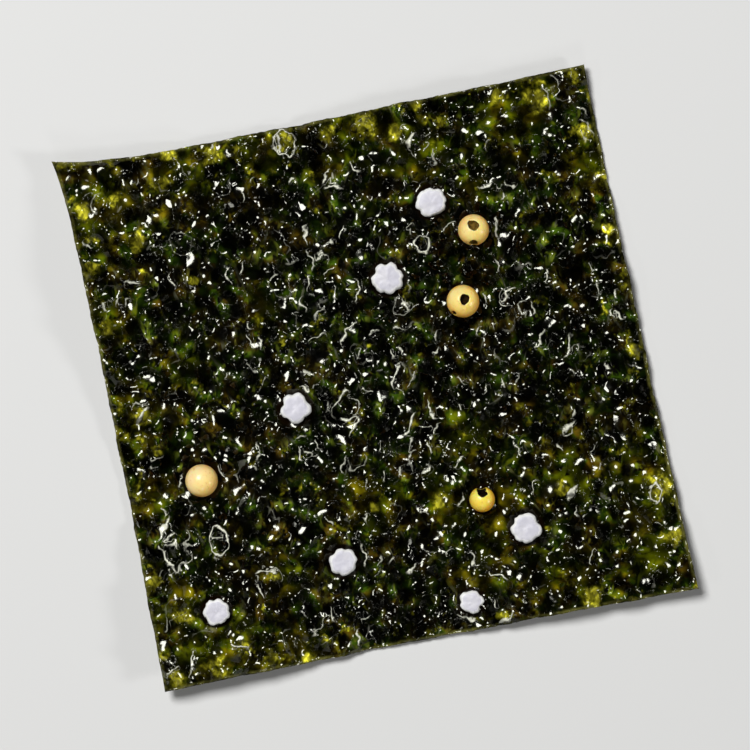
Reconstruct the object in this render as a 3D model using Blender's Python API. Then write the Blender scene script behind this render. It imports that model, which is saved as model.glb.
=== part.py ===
"""A square of oiled, roasted seaweed with round golden seeds and lobed salt crystals fused to it.

Metres, +Z up. The sheet lies along XY and touches Z = 0 with the flattened low spots of its
underside. The origin is under the middle of its box: the corners are placed so that they span
that box, and the edges only ever turn inwards from the straight lines between them.
"""

import math
import random

import bpy
import numpy as np
from mathutils import Matrix, Vector
from mathutils.bvhtree import BVHTree

MM = 0.001

# The sheet: a slightly crooked square, cut from a larger sheet
CORNERS = {
    "left_top": (-28.0 * MM, 27.2 * MM),
    "right_top": (27.7 * MM, 27.6 * MM),
    "right_bottom": (28.8 * MM, -28.4 * MM),
    "left_bottom": (-27.9 * MM, -28.2 * MM),
}
FLARE = (-0.8 * MM, 1.2 * MM)  # how far the left top corner is drawn out past the straight edges
FLARE_POWER = 14
THICKNESS = 0.4 * MM
CELLS = 46  # along each side, about 1.2 mm each

# Its cut edges wander inwards by up to this much
EDGE_NOTCH = 0.22 * MM
EDGE_FADE = 0.06  # share of the side over which the wandering dies away inwards
EDGE_WAVES = (3.2, 7.3, 12.7)  # waves along a side
SIDE_PHASES = {"left": 0.4, "right": 2.1, "bottom": 3.7, "top": 5.2}

# How it lies: long swells, corners that curl up, and low spots pressed flat on the ground
SWELL = 0.5 * MM
SWELL_LENGTHS = (26 * MM, 40 * MM)
SWELL_SEED = 102
CORNER_LIFT = {
    "left_top": 1.5 * MM,
    "right_top": 0.8 * MM,
    "right_bottom": 1.3 * MM,
    "left_bottom": 0.5 * MM,
}
CURL_POWER = 3.0
TOUCH = -0.54 * MM  # swell, curl and relief at or below this lie on the ground

# Its relief: crossing wrinkles, and blisters raised by roasting
WRINKLE = 0.13 * MM
WRINKLE_LENGTHS = (4.5 * MM, 9 * MM)
WRINKLE_SEED = 23
WAVE_COUNT = 14
# The blisters that stand out: x, y, length and width in mm, and the length's turn from +X
SHOWN_BLISTERS = (
    (-4.6, 25.6, 3.4, 2.9, 90),
    (3.9, 25.7, 3.6, 2.4, 40),
    (8.8, 23.4, 3.2, 2.6, 90),
    (22.3, 24.6, 3.2, 2.6, 70),
    (-24.6, 23.1, 2.6, 2.2, 90),
    (26.2, 20.3, 3.0, 2.0, 70),
    (-17.2, 17.5, 2.9, 2.5, 90),
    (7.5, 12.4, 2.4, 2.0, 90),
    (-3.4, 12.4, 2.6, 1.7, 60),
    (4.1, 6.6, 2.0, 1.8, 90),
    (15.3, 5.2, 2.4, 2.0, 60),
    (-24.8, 0.5, 3.2, 2.6, 60),
    (2.6, -0.7, 3.0, 1.8, 75),
    (-3.7, -2.9, 3.4, 2.5, 70),
    (-13.0, -2.7, 2.3, 2.1, 0),
    (-23.9, -3.4, 2.6, 1.9, 50),
    (-8.3, -6.2, 2.6, 2.4, 0),
    (-3.6, -8.4, 2.8, 2.2, 90),
    (18.8, -9.0, 2.2, 1.7, 30),
    (2.9, -9.4, 4.0, 2.8, 90),
    (-23.9, -13.3, 5.6, 3.2, 90),
    (-19.4, -13.8, 3.9, 2.4, 90),
    (26.3, -17.8, 2.7, 1.7, 75),
    (-15.0, -19.0, 3.3, 3.0, 45),
    (-9.8, -25.3, 4.6, 2.5, 15),
)
SHOWN_HEIGHT = 0.17  # of the width
BLISTERS = 78  # with those, the others drawn between them
BLISTER_RADII = (1.1 * MM, 1.9 * MM)
BLISTER_HEIGHTS = (0.20 * MM, 0.40 * MM)
BLISTER_WIDTHS = (0.55, 0.95)  # of the length
BLISTER_GAP = 0.9  # of the two radii together
BLISTER_SEED = 5
BLISTER_TRIES = 4000

# Golden seeds: place, diameter, and the dark pit's width, lean from straight up and direction
SEEDS = (
    {"at": (13.00 * MM, 12.85 * MM), "across": 3.25 * MM, "pit": 1.20 * MM, "lean": 18, "towards": 84},
    {"at": (10.47 * MM, 5.76 * MM), "across": 3.40 * MM, "pit": 1.10 * MM, "lean": 9, "towards": 39},
    {"at": (-19.88 * MM, -7.31 * MM), "across": 3.40 * MM, "pit": 0.0, "lean": 0, "towards": 0},
    {"at": (8.45 * MM, -14.89 * MM), "across": 2.65 * MM, "pit": 1.10 * MM, "lean": 37, "towards": 79},
)
SEED_SIDES = 12
SEED_RINGS = 6
CAP = 0.33  # width of the last ring of a seed without a pit, of its diameter
PIT_DEPTH = 0.36  # of the seed's radius

# Salt crystals: place, size across, and the directions in which the lobes of the rim point
SALTS = (
    {"at": (9.25 * MM, 16.56 * MM), "across": 3.24 * MM, "lobes": (0, 40, 90, 130, 185, 230, 325)},
    {"at": (3.24 * MM, 9.65 * MM), "across": 3.40 * MM, "lobes": (5, 60, 112, 182, 225, 270, 320)},
    {"at": (-8.88 * MM, -1.81 * MM), "across": 3.34 * MM, "lobes": (60, 115, 190, 265, 345)},
    {"at": (12.40 * MM, -18.72 * MM), "across": 3.24 * MM, "lobes": (65, 120, 180, 225, 262, 335)},
    {"at": (-7.04 * MM, -18.50 * MM), "across": 3.00 * MM, "lobes": (5, 40, 95, 160, 215, 265, 318)},
    {"at": (-21.00 * MM, -21.01 * MM), "across": 2.84 * MM, "lobes": (20, 70, 115, 170, 240, 290, 335)},
    {"at": (5.31 * MM, -25.20 * MM), "across": 2.56 * MM, "lobes": (0, 62, 135, 200, 280)},
)
SIDES_PER_LOBE = 4
SALT_HEIGHT = 0.38  # of the size across
LOBE_DEPTH = 0.10  # how far the rim falls in between lobes 60 degrees apart, of its radius
# The crystal's section from the ground up: share of the rim's radius, share of the height
SALT_SECTION = ((0.86, 0.0), (1.0, 0.45), (0.84, 0.88), (0.45, 1.0))


def smooth_step(share):
    """0 to 1 along a smooth curve as share goes from 0 to 1."""
    share = np.clip(share, 0.0, 1.0)
    return share * share * (3.0 - 2.0 * share)


def waves(x, y, lengths, seed):
    """Sine waves crossing in drawn directions, summed to a mean height of 0 and a spread of 1."""
    draw = random.Random(seed)
    total = np.zeros_like(x)
    for _ in range(WAVE_COUNT):
        direction = draw.uniform(0.0, math.tau)
        length = draw.uniform(*lengths)
        phase = draw.uniform(0.0, math.tau)
        along = x * math.cos(direction) + y * math.sin(direction)
        total += np.sin(along / length * math.tau + phase)
    return total / math.sqrt(WAVE_COUNT / 2)


def notch(along, phase):
    """How far a cut edge has wandered inwards, 0 at both of its corners."""
    wander = sum(np.sin(along * math.tau * n + phase * n) for n in EDGE_WAVES) / len(EDGE_WAVES)
    return EDGE_NOTCH * (0.5 + 0.5 * wander) * np.sin(along * math.pi) ** 0.5


def plan(u, v):
    """X and Y of the point that lies u of the way from left to right and v from bottom to top."""
    x, y = (
        (1 - v) * ((1 - u) * CORNERS["left_bottom"][i] + u * CORNERS["right_bottom"][i])
        + v * ((1 - u) * CORNERS["left_top"][i] + u * CORNERS["right_top"][i])
        + FLARE[i] * ((1 - u) * v) ** FLARE_POWER
        for i in (0, 1)
    )
    x = x + notch(v, SIDE_PHASES["left"]) * (1 - smooth_step(u / EDGE_FADE))
    x = x - notch(v, SIDE_PHASES["right"]) * (1 - smooth_step((1 - u) / EDGE_FADE))
    y = y + notch(u, SIDE_PHASES["bottom"]) * (1 - smooth_step(v / EDGE_FADE))
    y = y - notch(u, SIDE_PHASES["top"]) * (1 - smooth_step((1 - v) / EDGE_FADE))
    return x, y


def curl(u, v):
    """How far the corners lift."""
    return (
        CORNER_LIFT["left_top"] * ((1 - u) * v) ** CURL_POWER
        + CORNER_LIFT["right_top"] * (u * v) ** CURL_POWER
        + CORNER_LIFT["right_bottom"] * (u * (1 - v)) ** CURL_POWER
        + CORNER_LIFT["left_bottom"] * ((1 - u) * (1 - v)) ** CURL_POWER
    )


def shown_blister(x, y, length, width, turn):
    """One of the blisters that stand out, as the drawn ones are written."""
    return {
        "x": x * MM,
        "y": y * MM,
        "radius": length / 2 * MM,
        "height": width * SHOWN_HEIGHT * MM,
        "width": width / length,
        "angle": math.radians(turn),
    }


def all_blisters():
    """The blisters that stand out, and others drawn clear of them and of what lies on the sheet."""
    draw = random.Random(BLISTER_SEED)
    toppings = [(*item["at"], item["across"] / 2) for item in SEEDS + SALTS]
    found = [shown_blister(*row) for row in SHOWN_BLISTERS]
    for _ in range(BLISTER_TRIES):
        x, y = (float(value) for value in plan(draw.random(), draw.random()))
        radius = draw.uniform(*BLISTER_RADII)
        height = draw.uniform(*BLISTER_HEIGHTS)
        width = draw.uniform(*BLISTER_WIDTHS)
        angle = draw.uniform(0.0, math.pi)
        clear_of_toppings = all(math.hypot(x - a, y - b) > radius + r for a, b, r in toppings)
        clear_of_blisters = all(
            math.hypot(x - other["x"], y - other["y"]) > BLISTER_GAP * (radius + other["radius"])
            for other in found
        )
        if clear_of_toppings and clear_of_blisters:
            found.append(
                {"x": x, "y": y, "radius": radius, "height": height, "width": width, "angle": angle}
            )
        if len(found) == BLISTERS:
            break
    return found


def blister_relief(x, y, blisters):
    """Height of the blisters' domes over the flat sheet."""
    total = np.zeros_like(x)
    for blister in blisters:
        along_x, along_y = math.cos(blister["angle"]), math.sin(blister["angle"])
        dx, dy = x - blister["x"], y - blister["y"]
        length = (dx * along_x + dy * along_y) / blister["radius"]
        width = (dy * along_x - dx * along_y) / (blister["radius"] * blister["width"])
        inside = np.clip(1.0 - length**2 - width**2, 0.0, 1.0)
        total += blister["height"] * smooth_step(inside)
    return total


def underside(u, v, x, y):
    """Height of the sheet's lower face: swells, curled corners and relief, flat on the ground."""
    swell = SWELL * waves(x, y, SWELL_LENGTHS, SWELL_SEED)
    wrinkles = WRINKLE * waves(x, y, WRINKLE_LENGTHS, WRINKLE_SEED)
    shape = swell + curl(u, v) + wrinkles + blister_relief(x, y, all_blisters())
    return np.maximum(shape - TOUCH, 0.0)


def sheet_mesh():
    """The thin wavy sheet, both of its faces split into triangles alike."""
    row = CELLS + 1
    v, u = (grid.ravel() for grid in np.meshgrid(*[np.linspace(0, 1, row)] * 2, indexing="ij"))
    x, y = plan(u, v)
    z = underside(u, v, x, y)
    low = np.column_stack((x, y, z))
    high = low + (0.0, 0.0, THICKNESS)
    top = row * row  # what a point of the upper face adds to the number of the one below it
    faces = []
    for j in range(CELLS):
        for i in range(CELLS):
            a, b, c, d = (j * row + i, j * row + i + 1, (j + 1) * row + i + 1, (j + 1) * row + i)
            halves = ((a, b, c), (a, c, d)) if (i + j) % 2 else ((a, b, d), (b, c, d))
            for p, q, r in halves:
                faces.append((p + top, q + top, r + top))
                faces.append((r, q, p))
    last = CELLS * row
    rims = (
        [i for i in range(row)],
        [i * row + CELLS for i in range(row)],
        [last + i for i in reversed(range(row))],
        [i * row for i in reversed(range(row))],
    )
    for rim in rims:
        for p, q in zip(rim, rim[1:]):
            faces.append((p, q, q + top))
            faces.append((p, q + top, p + top))
    mesh = bpy.data.meshes.new("seaweed_sheet")
    mesh.from_pydata(np.vstack((low, high)).tolist(), [], faces)
    return mesh


def stacked_mesh(name, rings, first, last):
    """A closed body of rings of points, one above the other, between a first and a last point."""
    sides = len(rings[0])
    points = [point for ring in rings for point in ring]
    bottom, top = len(points), len(points) + 1
    points += [first, last]
    faces = []
    for side in range(sides):
        other = (side + 1) % sides
        faces.append((bottom, other, side))
        for level in range(len(rings) - 1):
            a, b = level * sides + side, level * sides + other
            faces.append((a, b, b + sides, a + sides))
        end = (len(rings) - 1) * sides
        faces.append((end + side, end + other, top))
    mesh = bpy.data.meshes.new(name)
    mesh.from_pydata([tuple(point) for point in points], [], faces)
    return mesh


def seed_mesh(seed, seat):
    """A round seed that sinks its lowest point half the sheet's thickness, pitted on one side."""
    radius = seed["across"] / 2
    lean, towards = math.radians(seed["lean"]), math.radians(seed["towards"])
    tilt = Matrix.Rotation(towards, 3, "Z") @ Matrix.Rotation(lean, 3, "Y")
    centre = Vector((*seed["at"], seat(*seed["at"]) + radius))
    rim = math.asin(seed["pit"] / seed["across"] or CAP)

    def ring(angle):
        out, up = radius * math.sin(angle), radius * math.cos(angle)
        turns = [side / SEED_SIDES * math.tau for side in range(SEED_SIDES)]
        return [centre + tilt @ Vector((out * math.cos(t), out * math.sin(t), up)) for t in turns]

    step = (math.pi - rim) / SEED_RINGS
    rings = [ring(math.pi - step * (level + 1)) for level in range(SEED_RINGS)]
    floor = radius * (math.cos(rim) - PIT_DEPTH) if seed["pit"] else radius
    ends = (centre + tilt @ Vector((0, 0, -radius)), centre + tilt @ Vector((0, 0, floor)))
    return stacked_mesh("seed", rings, *ends)


def lobed_rim(lobes):
    """Directions round a crystal's rim and the rim's radius there, 1 at the tip of each lobe."""
    rim = []
    for lobe, following in zip(lobes, (*lobes[1:], lobes[0] + 360)):
        for step in range(SIDES_PER_LOBE):
            share = step / SIDES_PER_LOBE
            fall = LOBE_DEPTH * (following - lobe) / 60 * math.sin(share * math.pi) ** 2
            rim.append((math.radians(lobe + (following - lobe) * share), 1 - fall))
    return rim


def salt_mesh(salt, seat):
    """A lobed salt crystal, its foot following the sheet at half the sheet's thickness."""
    radius = salt["across"] / 2
    height = salt["across"] * SALT_HEIGHT
    centre_x, centre_y = salt["at"]
    ground = seat(centre_x, centre_y)

    def ring(width, rise):
        points = []
        for turn, lobed in lobed_rim(salt["lobes"]):
            x = centre_x + radius * width * lobed * math.cos(turn)
            y = centre_y + radius * width * lobed * math.sin(turn)
            points.append(Vector((x, y, ground + height * rise if rise else seat(x, y))))
        return points

    rings = [ring(width, rise) for width, rise in SALT_SECTION]
    top = Vector((centre_x, centre_y, ground + height))
    return stacked_mesh("salt", rings, Vector((centre_x, centre_y, ground)), top)


def material(name, colour, roughness):
    """A plain Principled material."""
    made = bpy.data.materials.new(name)
    made.use_nodes = True
    shader = made.node_tree.nodes["Principled BSDF"]
    shader.inputs["Base Color"].default_value = (*colour, 1.0)
    shader.inputs["Roughness"].default_value = roughness
    shader.inputs["Metallic"].default_value = 0.0
    return made


def placed(name, mesh, collection, materials, slot):
    """An object of the mesh in the collection, wearing one of the materials all over."""
    for item in materials:
        mesh.materials.append(item)
    mesh.polygons.foreach_set("material_index", [slot] * len(mesh.polygons))
    made = bpy.data.objects.new(name, mesh)
    collection.objects.link(made)
    return made


def fuse(body, collection):
    """Joins the collection's objects to the body in one Boolean union, then removes them."""
    union = body.modifiers.new("fuse_toppings", "BOOLEAN")
    union.operation = "UNION"
    union.operand_type = "COLLECTION"
    union.collection = collection
    union.solver = "EXACT"
    bpy.context.view_layer.update()
    fused = bpy.data.meshes.new_from_object(body.evaluated_get(bpy.context.evaluated_depsgraph_get()))
    body.modifiers.clear()
    body.data = fused
    for item in list(collection.objects):
        bpy.data.objects.remove(item)
    bpy.data.collections.remove(collection)


def main():
    for old in list(bpy.data.objects):
        bpy.data.objects.remove(old)
    scene = bpy.context.scene
    materials = (
        material("seaweed", (0.018, 0.030, 0.006), 0.35),
        material("seed", (0.82, 0.50, 0.12), 0.45),
        material("salt", (0.74, 0.74, 0.80), 0.70),
    )
    sheet = placed("seaweed_sheet", sheet_mesh(), scene.collection, materials, 0)
    tree = BVHTree.FromPolygons(
        [point.co for point in sheet.data.vertices], [face.vertices for face in sheet.data.polygons]
    )

    def seat(x, y):
        """Height of the middle of the sheet's thickness."""
        return tree.ray_cast(Vector((x, y, 0.1)), Vector((0, 0, -1)))[0].z - THICKNESS / 2

    toppings = bpy.data.collections.new("toppings")
    scene.collection.children.link(toppings)
    for seed in SEEDS:
        placed("seed", seed_mesh(seed, seat), toppings, materials, 1)
    for salt in SALTS:
        placed("salt", salt_mesh(salt, seat), toppings, materials, 2)
    fuse(sheet, toppings)


main()
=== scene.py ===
"""The looks of a seasoned square of roasted seaweed: its film, golden seeds and salt crystals."""

import math
import random

import bmesh
import bpy
import numpy as np
from mathutils import Matrix, Vector, noise
from mathutils.bvhtree import BVHTree


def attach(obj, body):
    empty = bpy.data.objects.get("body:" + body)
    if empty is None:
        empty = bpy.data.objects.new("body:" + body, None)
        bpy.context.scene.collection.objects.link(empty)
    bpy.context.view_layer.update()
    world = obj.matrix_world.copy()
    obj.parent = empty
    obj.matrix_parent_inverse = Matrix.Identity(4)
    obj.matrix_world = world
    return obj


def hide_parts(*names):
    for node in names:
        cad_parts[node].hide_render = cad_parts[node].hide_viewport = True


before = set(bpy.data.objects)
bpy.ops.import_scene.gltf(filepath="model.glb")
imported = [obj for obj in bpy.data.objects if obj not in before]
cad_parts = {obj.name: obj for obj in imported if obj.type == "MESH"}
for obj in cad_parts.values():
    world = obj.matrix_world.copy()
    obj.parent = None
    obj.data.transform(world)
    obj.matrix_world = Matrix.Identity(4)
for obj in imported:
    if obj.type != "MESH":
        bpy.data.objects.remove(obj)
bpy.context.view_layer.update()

MM = 0.001

# The sheet's plan and the way it lies, as in the part's source
CORNERS = {
    "left_top": (-28.0 * MM, 27.2 * MM),
    "right_top": (27.7 * MM, 27.6 * MM),
    "right_bottom": (28.8 * MM, -28.4 * MM),
    "left_bottom": (-27.9 * MM, -28.2 * MM),
}
SIDE_IN_MM = 56  # about, for distances from the edge
FLARE = (-0.8 * MM, 1.2 * MM)  # how far the left top corner is drawn out past the straight edges
FLARE_POWER = 14
THICKNESS = 0.4 * MM
EDGE_NOTCH = 0.22 * MM  # how far the cut edge wanders inwards
EDGE_FADE = 0.06  # share of the side over which the wandering dies away inwards
EDGE_WAVES = (3.2, 7.3, 12.7)  # waves along a side
SIDE_PHASES = {"left": 0.4, "right": 2.1, "bottom": 3.7, "top": 5.2}
SWELL = 0.5 * MM
SWELL_LENGTHS = (26 * MM, 40 * MM)
SWELL_SEED = 102
CORNER_LIFT = {
    "left_top": 1.5 * MM,
    "right_top": 0.8 * MM,
    "right_bottom": 1.3 * MM,
    "left_bottom": 0.5 * MM,
}
CURL_POWER = 3.0
TOUCH = -0.54 * MM  # swell, curl and relief at or below this lie on the ground
WRINKLE = 0.13 * MM
WRINKLE_LENGTHS = (4.5 * MM, 9 * MM)
WRINKLE_SEED = 23
WAVE_COUNT = 14
# The blisters that stand out: x, y, length and width in mm, the length's turn from +X and, where it isn't
# SHOWN_RIM, the strength of the rim
SHOWN_BLISTERS = (
    (-4.6, 25.6, 3.4, 2.9, 90, 1.2),
    (3.9, 25.7, 3.6, 2.4, 40),
    (8.8, 23.4, 3.2, 2.6, 90),
    (22.3, 24.6, 3.2, 2.6, 70),
    (-24.6, 23.1, 2.6, 2.2, 90),
    (26.2, 20.3, 3.0, 2.0, 70),
    (-17.2, 17.5, 2.9, 2.5, 90, 0.9),
    (7.5, 12.4, 2.4, 2.0, 90, 1.2),
    (-3.4, 12.4, 2.6, 1.7, 60),
    (4.1, 6.6, 2.0, 1.8, 90),
    (15.3, 5.2, 2.4, 2.0, 60),
    (-24.8, 0.5, 3.2, 2.6, 60),
    (2.6, -0.7, 3.0, 1.8, 75),
    (-3.7, -2.9, 3.4, 2.5, 70),
    (-13.0, -2.7, 2.3, 2.1, 0),
    (-23.9, -3.4, 2.6, 1.9, 50),
    (-8.3, -6.2, 2.6, 2.4, 0),
    (-3.6, -8.4, 2.8, 2.2, 90),
    (18.8, -9.0, 2.2, 1.7, 30),
    (2.9, -9.4, 4.0, 2.8, 90),
    (-23.9, -13.3, 5.6, 3.2, 90),
    (-19.4, -13.8, 3.9, 2.4, 90, 1.4),
    (26.3, -17.8, 2.7, 1.7, 75, 1.4),
    (-15.0, -19.0, 3.3, 3.0, 45),
    (-9.8, -25.3, 4.6, 2.5, 15),
)
SHOWN_HEIGHT = 0.17  # of the width
BLISTERS = 78  # with those, the others drawn between them
BLISTER_RADII = (1.1 * MM, 1.9 * MM)
BLISTER_HEIGHTS = (0.20 * MM, 0.40 * MM)
BLISTER_WIDTHS = (0.55, 0.95)  # of the length
BLISTER_GAP = 0.9  # of the two radii together
BLISTER_SEED = 5
BLISTER_TRIES = 4000

# Golden seeds, as in the part's source. Tone runs from a pale pink one, 0, to a greenish yellow one, 1,
# and pit_tone from black, 0, to olive, 1. Chips are dark nicks: x and y from the seed's middle, and radius
SEEDS = (
    {
        "at": (13.00 * MM, 12.85 * MM), "across": 3.25 * MM, "pit": 1.20 * MM, "lean": 18, "towards": 84,
        "tone": 0.3, "pit_tone": 0.8, "chips": ((-0.32 * MM, -1.55 * MM, 0.52 * MM),),
    },
    {
        "at": (10.47 * MM, 5.76 * MM), "across": 3.40 * MM, "pit": 1.10 * MM, "lean": 9, "towards": 39,
        "tone": 0.5, "pit_tone": 0.08, "chips": ((-1.28 * MM, -1.14 * MM, 0.34 * MM),),
    },
    {
        "at": (-19.88 * MM, -7.31 * MM), "across": 3.40 * MM, "pit": 0.0, "lean": 0, "towards": 0,
        "tone": 0.15, "pit_tone": 0.0, "chips": (),
    },
    {
        "at": (8.45 * MM, -14.89 * MM), "across": 2.65 * MM, "pit": 1.10 * MM, "lean": 37, "towards": 79,
        "tone": 1.0, "pit_tone": 0.0, "chips": ((0.12 * MM, 1.15 * MM, 0.58 * MM),),
    },
)
SEED_SIDES = 128
SEED_RINGS = 72
CAP = 0.33  # width of the last ring of a seed without a pit, of its diameter
PIT_RINGS = 14
PIT_DEPTH = 0.36  # of the seed's radius
PIT_STEEPNESS = 0.7  # the less, the sooner the pit is deep
PIT_ROUNDNESS = 0.6  # the less, the wider its floor
PIT_UNEVEN = 0.20  # how far the pit's rim wanders in and out, of its radius
PIT_LIP = 1.05  # how far out from the rim that reaches, of its angle
CHIP_HEIGHT = 0.45  # above the seed's middle, of its radius
CHIP_UPRIGHT = 0.42  # how little a chip narrows up and down the seed's side

# Salt crystals, as in the part's source
SALTS = (
    {"at": (9.25 * MM, 16.56 * MM), "across": 3.24 * MM, "lobes": (0, 40, 90, 130, 185, 230, 325)},
    {"at": (3.24 * MM, 9.65 * MM), "across": 3.40 * MM, "lobes": (5, 60, 112, 182, 225, 270, 320)},
    {"at": (-8.88 * MM, -1.81 * MM), "across": 3.34 * MM, "lobes": (60, 115, 190, 265, 345)},
    {"at": (12.40 * MM, -18.72 * MM), "across": 3.24 * MM, "lobes": (65, 120, 180, 225, 262, 335)},
    {"at": (-7.04 * MM, -18.50 * MM), "across": 3.00 * MM, "lobes": (5, 40, 95, 160, 215, 265, 318)},
    {"at": (-21.00 * MM, -21.01 * MM), "across": 2.84 * MM, "lobes": (20, 70, 115, 170, 240, 290, 335)},
    {"at": (5.31 * MM, -25.20 * MM), "across": 2.56 * MM, "lobes": (0, 62, 135, 200, 280)},
)
SIDES_PER_LOBE = 14
SALT_HEIGHT = 0.38  # of the size across
LOBE_DEPTH = 0.135  # how far the rim falls in between lobes 60 degrees apart, of its radius
LOBE_REACHES = (0.95, 1.03)  # of the radius, at the lobes' tips
LOBE_VARIETY = (0.6, 1.25)  # of that depth, drawn for each gap between lobes
LOBE_SHARPNESS = 4
LOBES_INWARDS = 1.1  # how soon the lobes die away towards the crystal's middle
SALT_FRAY = 0.007  # of the radius
SALT_FRAY_WAVES = (11, 17)  # round the crystal
SALT_ROUGH = 0.10 * MM
SALT_GRAIN = 0.75 * MM
SALT_GRAIN_STEPS = (1, 2.3)  # how much finer each layer of the roughness is
SALT_UPWARDS = 2.2  # how much more the roughness points up than a ball's would
# The crystal's section from foot to crown: width and height, as shares, and how much of it is painted with
# a bright rim of light
SALT_SECTION = (
    (0.86, -0.12, 1), (0.90, 0.05, 1), (0.93, 0.2, 1), (0.96, 0.3, 1), (0.98, 0.38, 1), (1.0, 0.52, 1),
    (0.985, 0.66, 1), (0.94, 0.79, 1), (0.86, 0.89, 0.9), (0.80, 0.93, 0.75), (0.74, 0.95, 0.6),
    (0.67, 0.965, 0.45), (0.60, 0.975, 0.3), (0.50, 0.98, 0.15), (0.40, 0.985, 0), (0.30, 0.988, 0),
    (0.20, 0.99, 0), (0.10, 0.99, 0),
)

# The film's finer form: its mesh, the frayed cut, pebbles, and ridges of three kinds
TOP_CELLS = 288
COARSER = 3  # cells of the upper face along each cell of the lower face
FRAY = 0.05 * MM  # how far it is frayed besides, to both sides
FRAY_WAVES = (29.0, 47.0, 71.0)  # along a side
PEBBLE = 0.055 * MM
PEBBLE_LENGTHS = (1.35 * MM, 2.8 * MM)
PEBBLE_STRETCH = 1.25  # along Y
PEBBLE_WAVES = 70
PEBBLE_SEED = 41
PEBBLE_RANGE = (1.2, 0.6)  # of their height, in the lively patches and in the calm ones
CALM_LENGTHS = (3 * MM, 7 * MM)
CALM_SEED = 47
VEIN = 0.07 * MM
VEIN_LENGTHS = (2.6 * MM, 5.0 * MM)
VEIN_WIDTH = 0.16  # of the height of the waves whose zero line the vein follows
VEIN_SEED = 57
VEIN_PATCHES = (6 * MM, 12 * MM)
RIM = 0.13 * MM
RIM_WIDTH = 0.19 * MM
SHOWN_RIM = 0.7
DRAWN_RIM = 0.35
WHOLE_RIM = 0.8  # from this strength on a rim grows whole, and at 1.05 it is seen all the way round
WHOLE_RIM_PACE = 4
RIM_AT = 0.92  # of the way from the blister's middle to its foot
RIM_INWARDS = 0.14  # how much nearer to the middle a whole rim lies
RIM_WOBBLE = 0.20 * MM
RIM_WOBBLE_LENGTHS = (1.2 * MM, 2.6 * MM)
RIM_STEADY = 0.6  # how much less a whole rim wobbles
RIM_PARTS = (3 * MM, 6 * MM)  # lengths of the waves that break up the other rims
# The rims' and folds' lines carry a painted highlight
RIM_PAINT = 0.8  # how strong a rim's line is, against a fold's
RIM_SEED = 61
FOLD = 0.10 * MM
FOLD_WIDTH = 0.20 * MM
LINE_REACH = 0.25 * MM  # a rim or fold is painted this far off its line, and fades up to twice as far
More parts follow.
